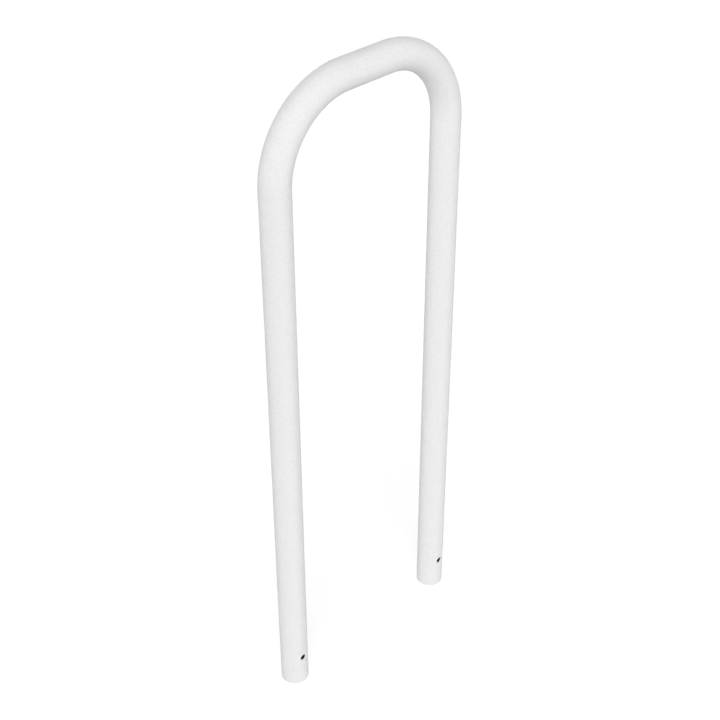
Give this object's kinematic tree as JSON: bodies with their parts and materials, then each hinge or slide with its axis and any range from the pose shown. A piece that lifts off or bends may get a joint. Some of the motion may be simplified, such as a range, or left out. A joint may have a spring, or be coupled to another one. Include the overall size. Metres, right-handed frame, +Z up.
{
  "type": "hoop barrier",
  "caption": "Tall narrow hoop barrier of bent round steel tube, with cross-drilled legs to set in the ground and plugged cut ends.",
  "frame": {"origin": "on the ground, midway between the two legs, level with their cut ends", "axes": "+Z up, X along the hoop from leg to leg, Y square to the hoop's plane and along the anchor holes"},
  "size_m": [0.5, 0.06, 1.4],
  "materials": {
    "white_coat": "fine-textured matt powder coat over galvanised steel",
    "plug_plastic": "moulded, lightly grained"
  },
  "bodies": {
    "root": {"hoop_tube": "white_coat", "left_end_plug": "plug_plastic", "right_end_plug": "plug_plastic"}
  },
  "joints": []
}
